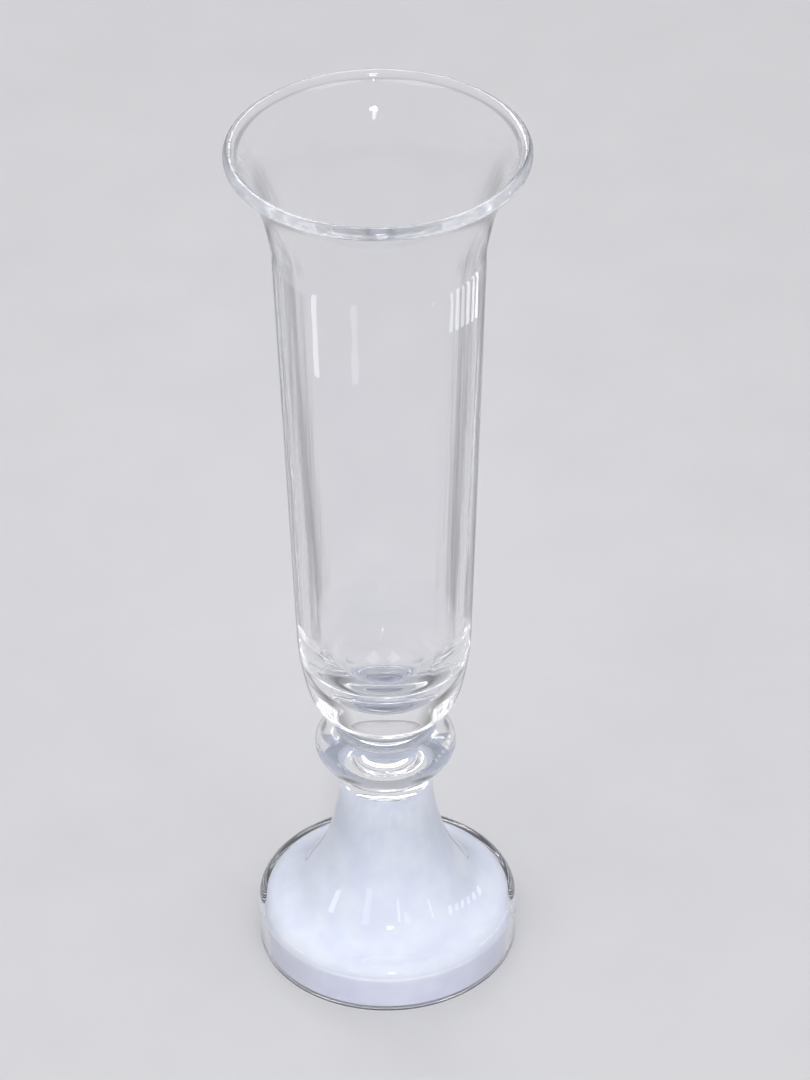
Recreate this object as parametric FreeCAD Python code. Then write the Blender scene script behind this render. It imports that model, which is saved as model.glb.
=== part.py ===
import FreeCAD, Part
import math
import os

# Footed trumpet vase of clear glass, in millimetres. +Z is up, and the origin is the middle of
# the ring that the foot stands on. Every piece is turned about Z. The pieces are stacked hot:
# foot, lower merese (a thin glass wafer), knop, upper merese and bowl, each seated flat on the
# one below. The foot is a hollow bell of clear glass with a thin frosted layer inside.

# Whole vase
vase_height = 500.0

# Foot: a skirt that stands upright, a round shoulder and a concave flare up to a solid neck
foot_diameter = 139.0
foot_height = 114.5
skirt_height = 28.5
shoulder_round = 5.0
shoulder_slope = 10.0
neck_diameter = 49.0
rest_edge_round = 1.2

# Hollow under the foot
foot_wall = 4.6
neck_wall = 3.2
hollow_shoulder_round = 6.5
hollow_edge_round = 0.9
crown_rise = 26.0

# Frosted layer inside the foot
frost_thickness = 1.2
frost_clearance = 0.05
frost_setback = 1.5

# Mereses: the two wafers that join the knop to the foot and to the bowl
merese_diameter = 55.0
merese_height = 6.5
merese_seat_diameter = 48.6

# Knop: the solid ring between the wafers
knop_diameter = 74.4
knop_height = 20.0
knop_seat_diameter = 55.4

# Bowl: a stub, a deep rounded bottom, a tapered wall and a flared mouth with a thick round lip,
# which stands proud of the wall inside
mouth_diameter = 151.4
throat_diameter = 106.8
bowl_foot_diameter = 91.2
stub_diameter = 50.0
stub_height = 2.5
bottom_round_height = 55.0
flare_height = 60.0
lip_thickness = 6.6
lip_fillet = 2.0
lip_slope = 38.0
throat_wall = 4.8
bowl_foot_wall = 6.5
floor_thickness = 20.0
cavity_round_height = 50.0

# Control points of the curves, as shares of the way outward and of the way up
foot_flare_shares = [(0.46, 0.16), (0.23, 0.33), (0.07, 0.61)]
bottom_round_shares = [(0.53, 0.14), (0.76, 0.35), (0.87, 0.55)]
mouth_flare_shares = [(0.11, 0.28), (0.27, 0.62)]
crown_shares = [(0.98, 0.82)]
hollow_wall_shares = [0.0, 0.0, 0.3, 0.7, 1.0]

# First and last leg of each curve's control line, as shares of the distance between its ends
foot_flare_leg_shares = (0.16, 0.17)
bottom_round_leg_shares = (0.035, 0.16)
mouth_flare_leg_shares = (0.09, 0.1)
cavity_leg_shares = (0.33, 0.43)
crown_leg_share = 0.62

# Heights of the seats, from the stack
knop_base = foot_height + merese_height
upper_merese_base = knop_base + knop_height
bowl_base = upper_merese_base + merese_height

RIGHT_ANGLE = 90.0
FULL_TURN = 360.0
CURVE_DEGREE = 3
ORIGIN = FreeCAD.Vector(0, 0, 0)
UP = FreeCAD.Vector(0, 0, 1)
OUTWARD = FreeCAD.Vector(1, 0, 0)


def at(radius, height):
    return FreeCAD.Vector(radius, 0, height)


def heading(degrees):
    """Unit direction in the outline's plane, counted up from straight outward."""
    return at(math.cos(math.radians(degrees)), math.sin(math.radians(degrees)))


def between(narrow, wide, shares):
    """Points at shares of the way outward and up from one corner of a box to the other."""
    size = wide - narrow
    return [at(narrow.x + out * size.x, narrow.z + rise * size.z) for out, rise in shares]


def control_line(start, leaving, middle, arriving, end, leg_shares):
    """Control points of a curve that leaves its start and reaches its end in given directions."""
    span = (end - start).Length
    first, last = leg_shares
    return [start, start + leaving * (first * span)] + middle + [end - arriving * (last * span), end]


def smooth(points):
    """Edge of the curve that these points control."""
    spline = Part.BSplineCurve()
    spline.buildFromPoles(points, False, CURVE_DEGREE)
    return spline.toShape()


def inset(points, depths):
    """Control line moved to its left, each point by its own depth, so that the curve follows."""
    legs = [(after - before).normalize() for before, after in zip(points, points[1:])]
    moved = []
    for point, depth, before, after in zip(points, depths, legs[:1] + legs, legs + legs[-1:]):
        mean = before + after
        reach = 2 * depth / mean.Length ** 2
        moved.append(point + at(-mean.z, mean.x) * reach)
    return moved


def line(start, end):
    return Part.LineSegment(start, end).toShape()


def arc(centre, radius, first, last):
    """Arc about a centre between two headings in degrees."""
    ends = [centre + heading(angle) * radius for angle in (first, (first + last) / 2, last)]
    return Part.Arc(*ends).toShape()


def turned(edges):
    """Solid of revolution of a closed outline about the vase's axis."""
    face = Part.Face(Part.Wire(Part.__sortEdges__(edges)))
    return face.revolve(ORIGIN, UP, FULL_TURN)


def shoulder_end():
    """Where the foot's shoulder turns into its flare."""
    centre = at(foot_diameter / 2 - shoulder_round, skirt_height - shoulder_round)
    return centre + heading(RIGHT_ANGLE - shoulder_slope) * shoulder_round


def foot_flare():
    """Control line from the shoulder to the top of the foot's neck."""
    start = shoulder_end()
    end = at(neck_diameter / 2, foot_height)
    middle = between(at(end.x, start.z), at(start.x, end.z), foot_flare_shares)
    leaving = heading(2 * RIGHT_ANGLE - shoulder_slope)
    return control_line(start, leaving, middle, UP, end, foot_flare_leg_shares)


def hollow(depth, base):
    """Edges of the foot's hollow at a depth inside the glass, from its rim up to the axis."""
    radius = foot_diameter / 2 - depth
    round_radius = hollow_shoulder_round + foot_wall - depth
    slope_heading = heading(RIGHT_ANGLE - shoulder_slope)
    flare = foot_flare()[:len(hollow_wall_shares)]
    low = inset(flare, [depth + share * (neck_wall - foot_wall) for share in hollow_wall_shares])
    slide = (radius - round_radius + slope_heading.x * round_radius - low[0].x) / slope_heading.z
    low[0] = low[0] + heading(-shoulder_slope) * slide
    centre = low[0] - slope_heading * round_radius
    spring = low[-1]
    top = at(0, spring.z + crown_rise + foot_wall - depth)
    crown = between(at(0, spring.z), at(spring.x, top.z), crown_shares)
    crown.append(top + OUTWARD * (crown_leg_share * spring.x))
    edges = [line(at(radius, base), at(radius, centre.z)),
             arc(centre, round_radius, 0, RIGHT_ANGLE - shoulder_slope),
             smooth(low + crown + [top])]
    return edges, top


def foot():
    """Clear bell: upright skirt, round shoulder, concave flare and solid neck."""
    radius = foot_diameter / 2
    inner_radius = radius - foot_wall
    shoulder = at(radius - shoulder_round, skirt_height - shoulder_round)
    neck_top = at(neck_diameter / 2, foot_height)
    inner, hollow_top = hollow(foot_wall, hollow_edge_round)
    inner_edge = at(inner_radius + hollow_edge_round, hollow_edge_round)
    outer_edge = at(radius - rest_edge_round, rest_edge_round)
    edges = inner + [
        arc(inner_edge, hollow_edge_round, 2 * RIGHT_ANGLE, 3 * RIGHT_ANGLE),
        line(at(inner_edge.x, 0), at(outer_edge.x, 0)),
        arc(outer_edge, rest_edge_round, -RIGHT_ANGLE, 0),
        line(at(radius, rest_edge_round), at(radius, shoulder.z)),
        arc(shoulder, shoulder_round, 0, RIGHT_ANGLE - shoulder_slope),
        smooth(foot_flare()),
        line(neck_top, at(0, foot_height)),
        line(at(0, foot_height), hollow_top),
    ]
    return turned(edges)


def frosted_layer():
    """Thin frosted bell that lines the foot's hollow and stops short of the rest ring."""
    near = foot_wall + frost_clearance
    far = near + frost_thickness
    outside, outside_top = hollow(near, frost_setback)
    inside, inside_top = hollow(far, frost_setback)
    rim = line(at(foot_diameter / 2 - near, frost_setback), at(foot_diameter / 2 - far, frost_setback))
    return turned(outside + inside + [rim, line(outside_top, inside_top)])


def disc(diameter, seat_diameter, height, base):
    """Solid disc with flat seats above and below and a full round edge."""
    low = at(seat_diameter / 2, base)
    high = at(seat_diameter / 2, base + height)
    edge = Part.Arc(low, at(diameter / 2, base + height / 2), high).toShape()
    return turned([line(at(0, base), low), edge, line(high, at(0, high.z)),
                   line(at(0, high.z), at(0, base))])


def mouth_flare(lip_centre, throat, up_wall):
    """Control line of the outside from the throat to the lip."""
    end = lip_centre + heading(lip_slope - RIGHT_ANGLE) * (lip_thickness / 2)
    middle = between(throat, end, mouth_flare_shares)
    return control_line(throat, up_wall, middle, heading(lip_slope), end, mouth_flare_leg_shares)


def lip_seat():
    """Heading from the lip's centre to its inner fillet's, and how far the wall stops short."""
    rise = throat_wall - lip_thickness / 2 + lip_fillet
    reach = lip_thickness / 2 + lip_fillet
    slide = math.sqrt(reach ** 2 - rise ** 2)
    return lip_slope + 2 * RIGHT_ANGLE - math.degrees(math.asin(rise / reach)), slide


def bowl():
    """Blown bowl, thicker at its bottom and at its lip."""
    stub = at(stub_diameter / 2, bowl_base + stub_height)
    wall_foot = at(bowl_foot_diameter / 2, stub.z + bottom_round_height)
    throat = at(throat_diameter / 2, vase_height - flare_height)
    up_wall = (throat - wall_foot).normalize()
    lip_centre = at(mouth_diameter / 2 - lip_thickness / 2, vase_height - lip_thickness / 2)
    bottom_middle = between(stub, wall_foot, bottom_round_shares)
    bottom = control_line(stub, UP, bottom_middle, up_wall, wall_foot, bottom_round_leg_shares)
    flare = mouth_flare(lip_centre, throat, up_wall)

    floor = at(0, bowl_base + floor_thickness)
    cavity_foot = at(wall_foot.x - bowl_foot_wall, floor.z + cavity_round_height)
    inner_throat = throat - OUTWARD * throat_wall
    up_cavity = (inner_throat - cavity_foot).normalize()
    cavity = control_line(floor, OUTWARD, [], up_cavity, cavity_foot, cavity_leg_shares)
    inner_flare = inset(flare, [throat_wall] * len(flare))
    inner_flare[0] = inner_throat
    fillet_turn, fillet_slide = lip_seat()
    inner_flare[-2:] = [point - heading(lip_slope) * fillet_slide for point in inner_flare[-2:]]
    fillet_centre = inner_flare[-1] + heading(lip_slope + RIGHT_ANGLE) * lip_fillet

    seat = at(stub.x, bowl_base)
    return turned([
        line(at(0, bowl_base), seat),
        line(seat, stub),
        smooth(bottom),
        line(wall_foot, throat),
        smooth(flare),
        arc(lip_centre, lip_thickness / 2, lip_slope - RIGHT_ANGLE, fillet_turn),
        arc(fillet_centre, lip_fillet, fillet_turn - 2 * RIGHT_ANGLE, lip_slope - RIGHT_ANGLE),
        smooth(inner_flare),
        line(inner_throat, cavity_foot),
        smooth(cavity),
        line(floor, at(0, bowl_base)),
    ])


parts = {
    "foot": foot(),
    "foot_frosted_layer": frosted_layer(),
    "lower_merese": disc(merese_diameter, merese_seat_diameter, merese_height, foot_height),
    "knop": disc(knop_diameter, knop_seat_diameter, knop_height, knop_base),
    "upper_merese": disc(merese_diameter, merese_seat_diameter, merese_height, upper_merese_base),
    "bowl": bowl(),
}

os.makedirs("parts", exist_ok=True)
for name, shape in parts.items():
    shape.exportStep("parts/" + name + ".step")
    print(name, "valid", shape.isValid(), "solids", len(shape.Solids), "volume", round(shape.Volume))
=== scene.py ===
import math

import bmesh
import bpy
import numpy as np
from mathutils import Matrix, Vector

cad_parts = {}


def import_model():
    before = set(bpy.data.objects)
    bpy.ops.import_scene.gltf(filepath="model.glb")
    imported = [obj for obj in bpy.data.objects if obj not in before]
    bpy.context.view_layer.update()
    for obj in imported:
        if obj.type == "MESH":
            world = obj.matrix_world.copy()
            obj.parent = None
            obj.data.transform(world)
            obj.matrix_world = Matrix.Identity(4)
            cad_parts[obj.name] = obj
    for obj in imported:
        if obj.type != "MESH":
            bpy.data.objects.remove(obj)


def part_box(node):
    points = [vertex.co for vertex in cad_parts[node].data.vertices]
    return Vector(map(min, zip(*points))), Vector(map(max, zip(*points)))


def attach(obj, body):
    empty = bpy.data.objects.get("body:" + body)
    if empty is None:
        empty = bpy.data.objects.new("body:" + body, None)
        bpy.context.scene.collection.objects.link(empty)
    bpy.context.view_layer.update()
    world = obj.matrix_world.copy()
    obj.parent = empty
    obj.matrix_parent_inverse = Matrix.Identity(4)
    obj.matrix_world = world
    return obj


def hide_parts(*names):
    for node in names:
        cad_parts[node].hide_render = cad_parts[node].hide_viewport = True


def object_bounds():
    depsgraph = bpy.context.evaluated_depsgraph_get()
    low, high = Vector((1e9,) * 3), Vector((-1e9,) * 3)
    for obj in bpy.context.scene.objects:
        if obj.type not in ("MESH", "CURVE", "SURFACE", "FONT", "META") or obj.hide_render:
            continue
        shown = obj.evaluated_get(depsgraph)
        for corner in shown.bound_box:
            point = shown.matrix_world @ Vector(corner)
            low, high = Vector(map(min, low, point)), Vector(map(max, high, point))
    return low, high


# Footed trumpet vase of clear glass, in metres. Every piece is turned about Z. The outlines follow
# the same control lines as the solids, with enough points for clean refraction.
# An outline's point is a radius and a height.
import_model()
cad_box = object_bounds()

BODY = "root"
CLEAR_SLOT = "clear_glass"
FROSTED_SLOT = "frosted_glass"

# Sizes that the solids give
vase_height = cad_box[1].z
foot_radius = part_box("foot")[1].x
foot_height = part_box("foot")[1].z
merese_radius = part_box("lower_merese")[1].x
knop_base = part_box("knop")[0].z
knop_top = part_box("knop")[1].z
knop_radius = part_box("knop")[1].x
bowl_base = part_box("bowl")[0].z
mouth_radius = -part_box("bowl")[0].x

# Foot and the hollow under it
skirt_height = 0.0285
shoulder_round = 0.005
shoulder_slope = 10.0
neck_radius = 0.0245
rest_edge_round = 0.0012
foot_wall = 0.0046
neck_wall = 0.0032
hollow_shoulder_round = 0.0065
hollow_edge_round = 0.0009
crown_rise = 0.026

# Frosted layer
frost_thickness = 0.0012
frost_clearance = 0.00005
frost_bond = 0.0001
frost_bond_top = 0.104
frost_setback = 0.0015

# Seats of the wafers and of the knop
merese_seat_radius = 0.0243
knop_seat_radius = 0.0277

# Bowl
throat_radius = 0.0534
bowl_foot_radius = 0.0456
stub_radius = 0.025
stub_height = 0.0025
bottom_round_height = 0.055
flare_height = 0.06
lip_thickness = 0.0066
lip_fillet = 0.002
lip_slope = 38.0
throat_wall = 0.0048
bowl_foot_wall = 0.0065
floor_thickness = 0.02
cavity_round_height = 0.05

# Control points and end legs of the curves, as shares
foot_flare_shares = [(0.46, 0.16), (0.23, 0.33), (0.07, 0.61)]
bottom_round_shares = [(0.53, 0.14), (0.76, 0.35), (0.87, 0.55)]
mouth_flare_shares = [(0.11, 0.28), (0.27, 0.62)]
crown_shares = [(0.98, 0.82)]
hollow_wall_shares = [0.0, 0.0, 0.3, 0.7, 1.0]
foot_flare_leg_shares = (0.16, 0.17)
bottom_round_leg_shares = (0.035, 0.16)
mouth_flare_leg_shares = (0.09, 0.1)
cavity_leg_shares = (0.33, 0.43)
crown_leg_share = 0.62

# Fineness of the meshes
SEGMENTS = 256
CURVE_STEPS = 48
ARC_STEPS = 14
LINE_STEPS = 40
SHORT_LINE_STEPS = 4
CURVE_DEGREE = 3
SHARP_ANGLE = 35
SAME_PLACE = 1e-7

# Slight unevenness of blown glass round the axis: waves per turn, with each one's height in metres,
# its turn at the base in radians and how fast it turns with height in radians per metre
WAVES = [(3, 0.00009, 0.4, 2.0),
         (5, 0.00006, 2.1, -3.0),
         (8, 0.00005, 4.4, 5.0),
         (13, 0.00003, 1.3, -6.0),
         (21, 0.00002, 5.2, 9.0),
         (34, 0.000012, 3.3, -12.0)]

# The outside takes this share of it. It comes in above the bowl's seat and goes out below the lip,
# each time with a margin and a stretch in metres
OUTSIDE_WAVE_SHARE = 0.5
SEAT_MARGIN, SEAT_STRETCH = 0.02, 0.04
LIP_MARGIN, LIP_STRETCH = 0.008, 0.03

# Colours, and how strongly the depth of the glass takes light away
CLEAN_GLASS = (0.985, 0.985, 0.99)
SMUDGED_GLASS = (0.96, 0.96, 0.975)
GLASS_SHADOW = (0.93, 0.93, 0.95)
GLASS_DEPTH = (0.83, 0.85, 0.88)
GLASS_DENSITY = 1.0
# Painted shade: the frost below its shoulder is greyer than on the flare, for the weaker light on the
# upright skirt and the dark line at the shoulder
SHADED_SKIRT_FROST = (0.79, 0.815, 0.94)
FLARE_FROST = (0.83, 0.87, 0.95)
FROST_MOTTLE = (0.92, 0.92, 0.95)
FROST_STREAK = (0.9, 0.93, 0.97)
WHITE = (1.0, 1.0, 1.0)
CARD_WHITE = (0.97, 0.97, 1.0)
FLOOR_DARK = (0.6, 0.6, 0.61)
FLOOR_LIGHT = (0.62, 0.62, 0.63)
STUDIO_GREY = (0.62, 0.62, 0.64)

# Camera, fitted to the photo: its distance and height in metres, three turns in radians, and its
# focal length in pixels of a frame of this height
CAMERA_DISTANCE, CAMERA_HEIGHT = 2.0616, 1.7953
CAMERA_PITCH, CAMERA_YAW, CAMERA_ROLL = 0.63948, 0.00552, 0.00976
FOCAL_PIXELS, FRAME_PIXELS = 5000, 1080
SENSOR_WIDTH = 36

# Cards round the vase: azimuth in degrees, width, heights of both edges, and strength
CARD_DISTANCE = 0.42
CARDS = {"card_left": (-27, 0.06, 0.1, 0.24, 2.2),
         "card_far_left": (-72, 0.05, 0.1, 0.165, 4),
         "card_right": (14, 0.02, 0.16, 0.22, 3.5),
         "card_pale": (24, 0.05, 0.2, 0.235, 2.2),
         "card_far_right": (56, 0.015, 0.15, 0.21, 4)}
PANES = 6
PANE_WIDTH, PANE_BASE, PANE_TOP, PANE_STRENGTH = 0.035, 0.13, 0.235, 3.4
FIRST_PANE, PANE_STEP = 80, 9

# Two grey boards that lean away from the vase behind it: azimuth, and distance, width and height of
# the lower and of the upper edge
BOARDS = {"board_left": -150, "board_right": 150}
BOARD_FOOT = (0.16, 0.08, 0.001)
BOARD_TOP = (0.5, 0.25, 0.5)
BOARD_STRENGTH = 0.2

# Light passes on inside the walls through very many reflections
LIGHT_BOUNCES = 160

UP = np.array([0.0, 1.0])
OUTWARD = np.array([1.0, 0.0])


def at(radius, height):
    return np.array([radius, height], float)


def heading(degrees):
    """Unit direction in the outline's plane, counted up from straight outward."""
    return at(math.cos(math.radians(degrees)), math.sin(math.radians(degrees)))


def unit(vector):
    return vector / np.linalg.norm(vector)


def between(narrow, wide, shares):
    return [narrow + np.array(share) * (wide - narrow) for share in shares]


def control_line(start, leaving, middle, arriving, end, leg_shares):
    span = np.linalg.norm(end - start)
    first, last = leg_shares
    return [start, start + leaving * (first * span)] + middle + [end - arriving * (last * span), end]


def inset(points, depths):
    """Control line moved to its left, each point by its own depth."""
    legs = [unit(after - before) for before, after in zip(points, points[1:])]
    moved = []
    for point, depth, before, after in zip(points, depths, legs[:1] + legs, legs + legs[-1:]):
        mean = before + after
        moved.append(point + at(-mean[1], mean[0]) * (2 * depth / (mean @ mean)))
    return moved


def smooth(points):
    """Points of the clamped cubic spline that these points control."""
    spans = len(points) - CURVE_DEGREE
    knots = [0.0] * CURVE_DEGREE + list(range(spans + 1)) + [float(spans)] * CURVE_DEGREE
    curve = []
    for t in np.linspace(0, spans, CURVE_STEPS + 1):
        span = min(int(t), spans - 1) + CURVE_DEGREE
        local = [points[span - CURVE_DEGREE + i] for i in range(CURVE_DEGREE + 1)]
        for level in range(1, CURVE_DEGREE + 1):
            for i in range(CURVE_DEGREE, level - 1, -1):
                low = knots[span - CURVE_DEGREE + i]
                high = knots[span + 1 + i - level]
                share = (t - low) / (high - low)
                local[i] = (1 - share) * local[i - 1] + share * local[i]
        curve.append(local[CURVE_DEGREE])
    return curve


def line(start, end, steps=LINE_STEPS):
    return [start + (end - start) * share for share in np.linspace(0, 1, steps + 1)]


def arc(centre, radius, first, last, steps=ARC_STEPS):
    return [centre + heading(angle) * radius for angle in np.linspace(first, last, steps + 1)]


def joined(*runs):
    """One outline of runs that follow each other, with each shared end kept once."""
    outline = list(runs[0])
    for run in runs[1:]:
        outline += run[1:]
    return outline


def foot_flare():
    centre = at(foot_radius - shoulder_round, skirt_height - shoulder_round)
    start = centre + heading(90 - shoulder_slope) * shoulder_round
    end = at(neck_radius, foot_height)
    middle = between(at(end[0], start[1]), at(start[0], end[1]), foot_flare_shares)
    return control_line(start, heading(180 - shoulder_slope), middle, UP, end, foot_flare_leg_shares)


def hollow(depth, base):
    """Outline of the foot's hollow at a depth inside the glass, from its rim up to the axis."""
    radius = foot_radius - depth
    round_radius = hollow_shoulder_round + foot_wall - depth
    slope_heading = heading(90 - shoulder_slope)
    flare = foot_flare()[:len(hollow_wall_shares)]
    low = inset(flare, [depth + share * (neck_wall - foot_wall) for share in hollow_wall_shares])
    slide = (radius - round_radius + slope_heading[0] * round_radius - low[0][0]) / slope_heading[1]
    low[0] = low[0] + heading(-shoulder_slope) * slide
    centre = low[0] - slope_heading * round_radius
    spring = low[-1]
    top = at(0, spring[1] + crown_rise + foot_wall - depth)
    crown = between(at(0, spring[1]), at(spring[0], top[1]), crown_shares)
    crown.append(top + OUTWARD * (crown_leg_share * spring[0]))
    return joined(line(at(radius, base), at(radius, centre[1])),
                  arc(centre, round_radius, 0, 90 - shoulder_slope),
                  smooth(low + crown + [top]))


def foot_outline():
    """From the crown of the hollow down, round the rest ring and up to the neck's seat."""
    inner = hollow(foot_wall, hollow_edge_round)
    inner_edge = at(foot_radius - foot_wall + hollow_edge_round, hollow_edge_round)
    outer_edge = at(foot_radius - rest_edge_round, rest_edge_round)
    shoulder = at(foot_radius - shoulder_round, skirt_height - shoulder_round)
    neck_top = at(neck_radius, foot_height)
    return joined(inner[::-1],
                  arc(inner_edge, hollow_edge_round, 180, 270),
                  line(at(inner_edge[0], 0), at(outer_edge[0], 0), SHORT_LINE_STEPS),
                  arc(outer_edge, rest_edge_round, -90, 0),
                  line(at(foot_radius, rest_edge_round), at(foot_radius, shoulder[1])),
                  arc(shoulder, shoulder_round, 0, 90 - shoulder_slope),
                  smooth(foot_flare()),
                  [neck_top, at(merese_seat_radius, foot_height), at(0, foot_height)])


def frosted_outline():
    """From the crown inside, down to the layer's rim and up again outside. Along the flare the layer
    reaches a little into the clear glass, as frosting on glass does, so that no air shows between."""
    free = hollow(foot_wall + frost_clearance, frost_setback)
    bonded = hollow(foot_wall - frost_bond, frost_setback)
    bond_start = LINE_STEPS + ARC_STEPS // 3
    outside = [bond if index >= bond_start and bond[1] < frost_bond_top else loose
               for index, (loose, bond) in enumerate(zip(free, bonded))]
    inside = hollow(foot_wall + frost_clearance + frost_thickness, frost_setback)
    return joined(inside[::-1], [inside[0], outside[0]], outside)


def disc_outline(radius, seat_radius, base, top):
    """From the middle of the lower seat round the full edge to the middle of the upper seat."""
    half = (top - base) / 2
    bulge = radius - seat_radius
    edge_radius = (half * half + bulge * bulge) / (2 * bulge)
    sweep = math.degrees(math.asin(min(1.0, half / edge_radius)))
    if bulge > half:
        sweep = 180 - sweep
    centre = at(radius - edge_radius, (base + top) / 2)
    edge = arc(centre, edge_radius, -sweep, sweep, 2 * ARC_STEPS)
    seats = [at(merese_seat_radius, height) for height in (base, top) if seat_radius > merese_seat_radius]
    return [at(0, base)] + seats[:1] + edge + seats[1:] + [at(0, top)]


def lip_seat():
    """Heading from the lip's centre to its inner fillet's, and how far the wall stops short."""
    rise = throat_wall - lip_thickness / 2 + lip_fillet
    reach = lip_thickness / 2 + lip_fillet
    slide = math.sqrt(reach ** 2 - rise ** 2)
    return lip_slope + 180 - math.degrees(math.asin(rise / reach)), slide


def bowl_outline():
    """From the middle of the seat up the outside, over the lip and down to the cavity's floor."""
    stub = at(stub_radius, bowl_base + stub_height)
    wall_foot = at(bowl_foot_radius, stub[1] + bottom_round_height)
    throat = at(throat_radius, vase_height - flare_height)
    up_wall = unit(throat - wall_foot)
    lip_centre = at(mouth_radius - lip_thickness / 2, vase_height - lip_thickness / 2)
    bottom = control_line(stub, UP, between(stub, wall_foot, bottom_round_shares), up_wall, wall_foot,
                          bottom_round_leg_shares)
    flare_end = lip_centre + heading(lip_slope - 90) * (lip_thickness / 2)
    flare = control_line(throat, up_wall, between(throat, flare_end, mouth_flare_shares),
                         heading(lip_slope), flare_end, mouth_flare_leg_shares)
    cavity_floor = at(0, bowl_base + floor_thickness)
    cavity_foot = at(wall_foot[0] - bowl_foot_wall, cavity_floor[1] + cavity_round_height)
    inner_throat = throat - OUTWARD * throat_wall
    up_cavity = unit(inner_throat - cavity_foot)
    cavity = control_line(cavity_floor, OUTWARD, [], up_cavity, cavity_foot, cavity_leg_shares)
    inner_flare = inset(flare, [throat_wall] * len(flare))
    inner_flare[0] = inner_throat
    fillet_turn, slide = lip_seat()
    inner_flare[-2:] = [point - heading(lip_slope) * slide for point in inner_flare[-2:]]
    fillet_centre = inner_flare[-1] + heading(lip_slope + 90) * lip_fillet
    return joined([at(0, bowl_base), at(merese_seat_radius, bowl_base), at(stub_radius, bowl_base)],
                  line(at(stub_radius, bowl_base), stub, SHORT_LINE_STEPS),
                  smooth(bottom),
                  line(wall_foot, throat),
                  smooth(flare),
                  arc(lip_centre, lip_thickness / 2, lip_slope - 90, fillet_turn, 2 * ARC_STEPS),
                  arc(fillet_centre, lip_fillet, fillet_turn - 180, lip_slope - 90),
                  smooth(inner_flare)[::-1],
                  line(inner_throat, cavity_foot),
                  smooth(cavity)[::-1])


def unevenness(angle, height):
    """How far the glass stands out at this place, in metres."""
    return sum(size * math.cos(count * angle + turn + twist * height)
               for count, size, turn, twist in WAVES)


def lathe(name, outline, seats=(), waviness=None):
    """Closed mesh of an outline turned about Z. Faces that lie inside a fused seat get the second
    material, so that the joint doesn't show through the glass. The waviness of each outline point
    is its share of the unevenness."""
    mesh = bmesh.new()
    turns = [2 * math.pi * step / SEGMENTS for step in range(SEGMENTS)]
    rings = []
    for index, (radius, height) in enumerate(outline):
        if radius < SAME_PLACE:
            rings.append([mesh.verts.new((0, 0, height))])
            continue
        share = waviness[index] if waviness else 0.0
        ring = []
        for angle in turns:
            wide = radius + share * unevenness(angle, height)
            ring.append(mesh.verts.new((wide * math.cos(angle), wide * math.sin(angle), height)))
        rings.append(ring)
    for (low, high), (start, end) in zip(zip(rings, rings[1:]), zip(outline, outline[1:])):
        inside = any(abs(start[1] - seat) < SAME_PLACE and abs(end[1] - seat) < SAME_PLACE
                     and max(start[0], end[0]) < merese_seat_radius + SAME_PLACE for seat in seats)
        for step in range(SEGMENTS):
            after = (step + 1) % SEGMENTS
            if len(low) == 1:
                corners = [low[0], high[after], high[step]]
            elif len(high) == 1:
                corners = [low[step], low[after], high[0]]
            else:
                corners = [low[step], low[after], high[after], high[step]]
            face = mesh.faces.new(corners)
            face.smooth = True
            face.material_index = 1 if inside else 0
    data = bpy.data.meshes.new(name)
    mesh.to_mesh(data)
    mesh.free()
    data.set_sharp_from_angle(angle=math.radians(SHARP_ANGLE))
    piece = bpy.data.objects.new(name, data)
    bpy.context.scene.collection.objects.link(piece)
    return piece


def bowl_waviness(outline):
    """Little on the outside, more on the inside, and none near the seat and at the lip."""
    top = max(range(len(outline)), key=lambda index: outline[index][1])
    shares = []
    for index, point in enumerate(outline):
        rise = min(1.0, max(0.0, (point[1] - bowl_base - SEAT_MARGIN) / SEAT_STRETCH))
        fall = min(1.0, max(0.0, (vase_height - point[1] - LIP_MARGIN) / LIP_STRETCH))
        shares.append((OUTSIDE_WAVE_SHARE if index < top else 1.0) * rise * fall)
    return shares


def new_material(name):
    material = bpy.data.materials.new(name)
    material.use_nodes = True
    tree = material.node_tree
    tree.nodes.clear()
    return material, tree


def noise(tree, stretch, detail=3.0):
    """Noise over the object's own coordinates, with this many cells per metre along X, Y and Z."""
    coordinates = tree.nodes.new("ShaderNodeTexCoord")
    mapping = tree.nodes.new("ShaderNodeMapping")
    mapping.inputs["Scale"].default_value = stretch
    grain = tree.nodes.new("ShaderNodeTexNoise")
    grain.inputs["Scale"].default_value = 1.0
    grain.inputs["Detail"].default_value = detail
    tree.links.new(coordinates.outputs["Object"], mapping.inputs["Vector"])
    tree.links.new(mapping.outputs[0], grain.inputs["Vector"])
    return grain.outputs["Fac"]


def spread(tree, value, low, high, to_low, to_high):
    """Value mapped from one range to another, and held inside it."""
    ranged = tree.nodes.new("ShaderNodeMapRange")
    sockets = ("From Min", "From Max", "To Min", "To Max")
    for socket, number in zip(sockets, (low, high, to_low, to_high)):
        ranged.inputs[socket].default_value = number
    tree.links.new(value, ranged.inputs["Value"])
    return ranged.outputs[0]


def blend(tree, share, first, second):
    """Colour between two others, each a colour or a socket."""
    mix = tree.nodes.new("ShaderNodeMix")
    mix.data_type = "RGBA"
    tree.links.new(share, mix.inputs[0])
    for socket, colour in ((mix.inputs[6], first), (mix.inputs[7], second)):
        if isinstance(colour, tuple):
            socket.default_value = (*colour, 1)
        else:
            tree.links.new(colour, socket)
    return mix.outputs[2]


def bump(tree, value, strength, distance, under=None):
    """Normal of small relief, on top of another one."""
    relief = tree.nodes.new("ShaderNodeBump")
    relief.inputs["Strength"].default_value = strength
    relief.inputs["Distance"].default_value = distance
    tree.links.new(value, relief.inputs["Height"])
    if under is not None:
        tree.links.new(under, relief.inputs["Normal"])
    return relief.outputs[0]


def product(tree, first, second):
    times = tree.nodes.new("ShaderNodeMath")
    times.operation = "MULTIPLY"
    tree.links.new(first, times.inputs[0])
    tree.links.new(second, times.inputs[1])
    return times.outputs[0]


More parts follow.
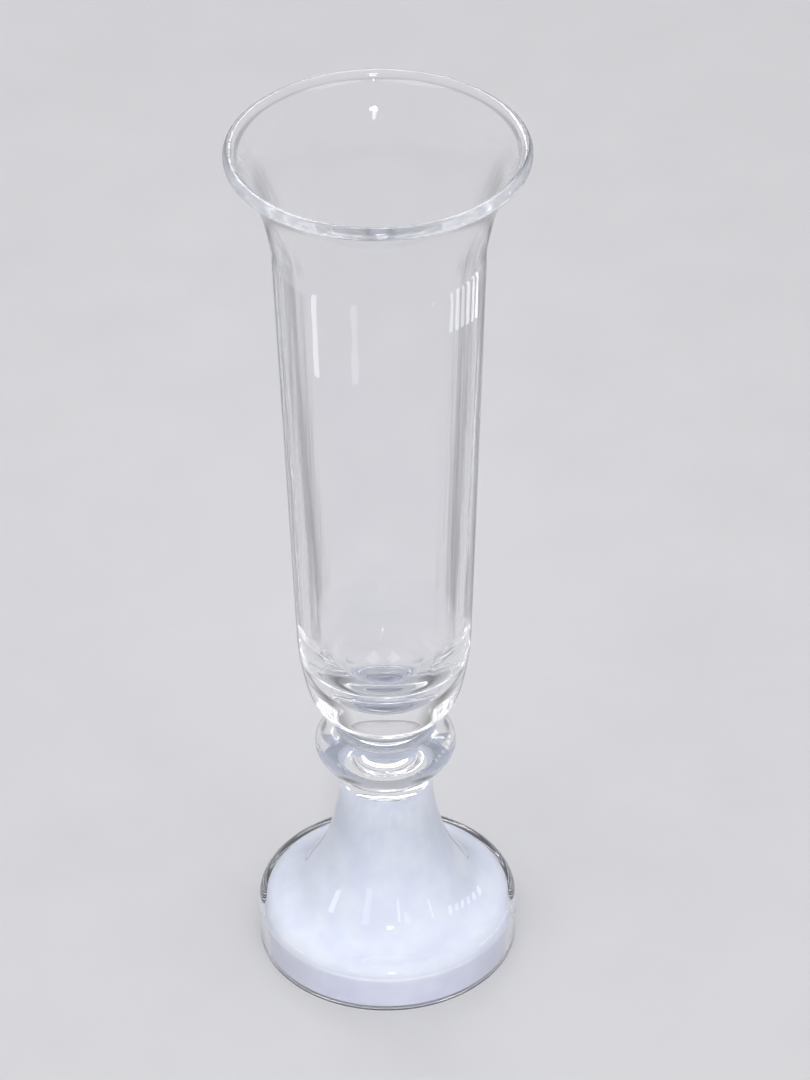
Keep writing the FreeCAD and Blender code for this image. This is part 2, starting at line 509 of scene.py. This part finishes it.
def height_share(tree, low, high, top_share=1.0):
    """Grows from nothing at one height to a share at another."""
    coordinates = tree.nodes.new("ShaderNodeTexCoord")
    split = tree.nodes.new("ShaderNodeSeparateXYZ")
    tree.links.new(coordinates.outputs["Object"], split.inputs[0])
    return spread(tree, split.outputs["Z"], low, high, 0, top_share)


def clear_glass(name, streaks, streak_strength, streaks_from=0.0):
    """Clear glass with fine streaks from its making, faint smudges and a slight cool tint. The
    streaks come in above a height."""
    material, tree = new_material(name)
    nodes, links = tree.nodes, tree.links
    output = nodes.new("ShaderNodeOutputMaterial")
    glass = nodes.new("ShaderNodeBsdfPrincipled")
    glass.inputs["IOR"].default_value = 1.5
    glass.inputs["Transmission Weight"].default_value = 1.0
    smudges = noise(tree, (28, 28, 17), 5.0)
    links.new(blend(tree, spread(tree, smudges, 0.4, 0.7, 0, 1), CLEAN_GLASS, SMUDGED_GLASS),
              glass.inputs["Base Color"])
    links.new(spread(tree, smudges, 0.52, 0.75, 0.0, 0.05), glass.inputs["Roughness"])
    slow = bump(tree, noise(tree, (35, 35, 22), 2.0), 0.12, 0.0006)
    start = height_share(tree, streaks_from, streaks_from + 0.05)
    lines = product(tree, noise(tree, streaks, 2.5), start)
    links.new(bump(tree, lines, streak_strength, 0.0003, slow), glass.inputs["Normal"])
    through = nodes.new("ShaderNodeBsdfTransparent")
    through.inputs["Color"].default_value = (*GLASS_SHADOW, 1)
    path = nodes.new("ShaderNodeLightPath")
    mix = nodes.new("ShaderNodeMixShader")
    links.new(path.outputs["Is Shadow Ray"], mix.inputs[0])
    links.new(glass.outputs[0], mix.inputs[1])
    links.new(through.outputs[0], mix.inputs[2])
    links.new(mix.outputs[0], output.inputs["Surface"])
    depth = nodes.new("ShaderNodeVolumeAbsorption")
    depth.inputs["Color"].default_value = (*GLASS_DEPTH, 1)
    depth.inputs["Density"].default_value = GLASS_DENSITY
    links.new(depth.outputs[0], output.inputs["Volume"])
    return material


def frosted_glass():
    """Matt, milky lavender layer: painted darker on the skirt below its shoulder as shade, faintly
    mottled, with fine grain and upright streaks where it narrows."""
    material, tree = new_material("frosted_glass")
    nodes, links = tree.nodes, tree.links
    output = nodes.new("ShaderNodeOutputMaterial")
    frost = nodes.new("ShaderNodeBsdfPrincipled")
    # Painted shade: the darker skirt colour below the shoulder changes to the flare colour between 16 and
    # 19.5 mm up
    frost_with_shaded_skirt = blend(tree, height_share(tree, 0.016, 0.0195), SHADED_SKIRT_FROST, FLARE_FROST)
    clouds = spread(tree, noise(tree, (60, 60, 60), 4.0), 0.35, 0.65, 0, 1)
    mottled = blend(tree, clouds, FROST_MOTTLE, WHITE)
    cloudy = nodes.new("ShaderNodeMix")
    cloudy.data_type = "RGBA"
    cloudy.blend_type = "MULTIPLY"
    cloudy.inputs[0].default_value = 1.0
    links.new(frost_with_shaded_skirt, cloudy.inputs[6])
    links.new(mottled, cloudy.inputs[7])
    streak = spread(tree, noise(tree, (260, 260, 12), 2.0), 0.5, 0.72, 0, 1)
    marked = product(tree, streak, height_share(tree, 0.05, 0.09, 0.45))
    links.new(blend(tree, marked, cloudy.outputs[2], FROST_STREAK), frost.inputs["Base Color"])
    matt = noise(tree, (400, 400, 400), 3.0)
    links.new(spread(tree, matt, 0.3, 0.7, 0.6, 0.8), frost.inputs["Roughness"])
    slow = bump(tree, noise(tree, (90, 90, 60), 3.0), 0.2, 0.0004)
    grain = noise(tree, (1500, 1500, 1500), 3.0)
    links.new(bump(tree, grain, 0.25, 0.0001, slow), frost.inputs["Normal"])
    frost.inputs["Subsurface Weight"].default_value = 0.3
    frost.inputs["Subsurface Radius"].default_value = (0.006, 0.006, 0.008)
    links.new(frost.outputs[0], output.inputs["Surface"])
    return material


def seam():
    """Nothing shows where two pieces are fused: the light passes straight on."""
    material, tree = new_material("fused_seam")
    output = tree.nodes.new("ShaderNodeOutputMaterial")
    through = tree.nodes.new("ShaderNodeBsdfTransparent")
    tree.links.new(through.outputs[0], output.inputs["Surface"])
    return material


def place(piece, node, slot, *materials):
    for material in materials:
        piece.data.materials.append(material)
    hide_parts(node)
    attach(piece, BODY)


blown = clear_glass("blown_glass", (240, 240, 5), 0.3, 0.19)
worked = clear_glass("worked_glass", (20, 20, 420), 0.16)
pressed = clear_glass("foot_glass", (60, 60, 60), 0.12)
frost = frosted_glass()
fused = seam()
place(lathe("foot_glass", foot_outline(), [foot_height]), "foot", CLEAR_SLOT, pressed, fused)
place(lathe("foot_frosting", frosted_outline()), "foot_frosted_layer", FROSTED_SLOT, frost)
place(lathe("lower_merese_glass", disc_outline(merese_radius, merese_seat_radius, foot_height, knop_base),
            [foot_height, knop_base]), "lower_merese", CLEAR_SLOT, worked, fused)
place(lathe("knop_glass", disc_outline(knop_radius, knop_seat_radius, knop_base, knop_top),
            [knop_base, knop_top]), "knop", CLEAR_SLOT, worked, fused)
place(lathe("upper_merese_glass", disc_outline(merese_radius, merese_seat_radius, knop_top, bowl_base),
            [knop_top, bowl_base]), "upper_merese", CLEAR_SLOT, worked, fused)
bowl_line = bowl_outline()
place(lathe("bowl_glass", bowl_line, [bowl_base], bowl_waviness(bowl_line)),
      "bowl", CLEAR_SLOT, blown, fused)


def camera():
    """Long lens in front of the vase and above it, as in the photo."""
    right = Vector((math.cos(CAMERA_YAW), -math.sin(CAMERA_YAW), 0))
    ahead = math.cos(CAMERA_PITCH)
    forward = Vector((ahead * math.sin(CAMERA_YAW), ahead * math.cos(CAMERA_YAW), -math.sin(CAMERA_PITCH)))
    up = right.cross(forward)
    x = math.cos(CAMERA_ROLL) * right - math.sin(CAMERA_ROLL) * up
    y = math.sin(CAMERA_ROLL) * right + math.cos(CAMERA_ROLL) * up
    data = bpy.data.cameras.new("camera")
    data.sensor_width = SENSOR_WIDTH
    data.lens = FOCAL_PIXELS / FRAME_PIXELS * SENSOR_WIDTH
    data.clip_start = 0.05
    data.clip_end = 200
    eye = bpy.data.objects.new("camera", data)
    turned = Matrix((x, y, -forward)).transposed().to_4x4()
    eye.matrix_world = Matrix.Translation((0, -CAMERA_DISTANCE, CAMERA_HEIGHT)) @ turned
    bpy.context.scene.collection.objects.link(eye)
    bpy.context.scene.camera = eye


def floor():
    data = bpy.data.meshes.new("floor")
    mesh = bmesh.new()
    bmesh.ops.create_circle(mesh, cap_ends=True, segments=96, radius=40)
    mesh.to_mesh(data)
    mesh.free()
    plane = bpy.data.objects.new("floor", data)
    bpy.context.scene.collection.objects.link(plane)
    material, tree = new_material("floor")
    output = tree.nodes.new("ShaderNodeOutputMaterial")
    paint = tree.nodes.new("ShaderNodeBsdfPrincipled")
    grain = spread(tree, noise(tree, (14, 14, 14), 4.0), 0.3, 0.7, 0, 1)
    tree.links.new(blend(tree, grain, FLOOR_DARK, FLOOR_LIGHT), paint.inputs["Base Color"])
    paint.inputs["Roughness"].default_value = 0.9
    paint.inputs["Specular IOR Level"].default_value = 0.0
    tree.links.new(paint.outputs[0], output.inputs["Surface"])
    data.materials.append(material)


def softbox(name, place_at, look_at, width, height, power, mirrored=True):
    """Rectangular soft lamp, which may be kept out of the glass's reflections."""
    data = bpy.data.lights.new(name, "AREA")
    data.shape = "RECTANGLE"
    data.size = width
    data.size_y = height
    data.energy = power
    lamp = bpy.data.objects.new(name, data)
    lamp.location = place_at
    lamp.rotation_euler = (Vector(look_at) - Vector(place_at)).to_track_quat("-Z", "Y").to_euler()
    lamp.visible_camera = False
    lamp.visible_glossy = mirrored
    bpy.context.scene.collection.objects.link(lamp)


def faded(tree, shader, outward, sideways, foot, top):
    """Shader of a card that fades out to both sides and to the top."""
    coordinates = tree.nodes.new("ShaderNodeTexCoord")
    measures = []
    for direction in (sideways, outward, Vector((0, 0, 1))):
        measure = tree.nodes.new("ShaderNodeVectorMath")
        measure.operation = "DOT_PRODUCT"
        measure.inputs[1].default_value = direction
        tree.links.new(coordinates.outputs["Object"], measure.inputs[0])
        measures.append(measure.outputs["Value"])
    slant = tree.nodes.new("ShaderNodeMath")
    slant.operation = "DIVIDE"
    tree.links.new(measures[0], slant.inputs[0])
    tree.links.new(measures[1], slant.inputs[1])
    side = tree.nodes.new("ShaderNodeMath")
    side.operation = "ABSOLUTE"
    tree.links.new(slant.outputs[0], side.inputs[0])
    shown = product(tree, spread(tree, side.outputs[0], 0, foot[1] / foot[0] / 2, 1, 0),
                    spread(tree, measures[2], top[2] / 2, top[2], 1, 0))
    through = tree.nodes.new("ShaderNodeBsdfTransparent")
    mix = tree.nodes.new("ShaderNodeMixShader")
    tree.links.new(shown, mix.inputs[0])
    tree.links.new(through.outputs[0], mix.inputs[1])
    tree.links.new(shader, mix.inputs[2])
    return mix.outputs[0]


def card(name, azimuth, foot, top, strength, fades=False):
    """Card that only the glass sees, turned to the vase. Its azimuth is counted from the camera's
    side, to the right. Its lower and upper edges are each a distance, a width and a height. One
    that fades is also seen through the glass, and the others are only mirrored in it."""
    turn = math.radians(azimuth)
    outward = Vector((math.sin(turn), -math.cos(turn), 0))
    sideways = Vector((math.cos(turn), math.sin(turn), 0))
    corners = []
    for (distance, width, height), sides in ((foot, (-1, 1)), (top, (1, -1))):
        for side in sides:
            corners.append(outward * distance + sideways * (side * width / 2) + Vector((0, 0, height)))
    data = bpy.data.meshes.new(name)
    data.from_pydata([tuple(corner) for corner in corners], [], [(0, 1, 2, 3)])
    board = bpy.data.objects.new(name, data)
    bpy.context.scene.collection.objects.link(board)
    material, tree = new_material(name)
    output = tree.nodes.new("ShaderNodeOutputMaterial")
    glow = tree.nodes.new("ShaderNodeEmission")
    glow.inputs["Color"].default_value = (*CARD_WHITE, 1)
    glow.inputs["Strength"].default_value = strength
    shader = faded(tree, glow.outputs[0], outward, sideways, foot, top) if fades else glow.outputs[0]
    tree.links.new(shader, output.inputs["Surface"])
    data.materials.append(material)
    board.visible_camera = False
    board.visible_diffuse = False
    board.visible_shadow = False
    board.visible_transmission = fades


def world():
    data = bpy.data.worlds.new("studio")
    bpy.context.scene.world = data
    data.use_nodes = True
    background = data.node_tree.nodes["Background"]
    background.inputs["Color"].default_value = (*STUDIO_GREY, 1)
    background.inputs["Strength"].default_value = 1.15


camera()
floor()
world()
middle = (0, 0, vase_height / 2)
softbox("key", (-0.6, -0.4, 2.2), middle, 0.9, 0.9, 7.6, False)
softbox("fill", (0.7, -0.4, 2.2), middle, 0.9, 0.9, 6.6, False)
softbox("back", (-0.3, 1.9, 1.9), middle, 1.0, 0.35, 8)
softbox("front", (0.12, -2.5, 1.7), middle, 0.22, 0.22, 15)
for name, (azimuth, width, base, top, strength) in CARDS.items():
    card(name, azimuth, (CARD_DISTANCE, width, base), (CARD_DISTANCE, width, top), strength)
for pane in range(PANES):
    card("card_window_%d" % pane, FIRST_PANE + PANE_STEP * pane, (CARD_DISTANCE, PANE_WIDTH, PANE_BASE),
         (CARD_DISTANCE, PANE_WIDTH, PANE_TOP), PANE_STRENGTH)
for name, azimuth in BOARDS.items():
    card(name, azimuth, BOARD_FOOT, BOARD_TOP, BOARD_STRENGTH, True)
bpy.context.scene.cycles.max_bounces = LIGHT_BOUNCES
bpy.context.scene.cycles.transmission_bounces = LIGHT_BOUNCES
bpy.context.scene.cycles.glossy_bounces = LIGHT_BOUNCES
bpy.context.scene.view_settings.view_transform = "Standard"
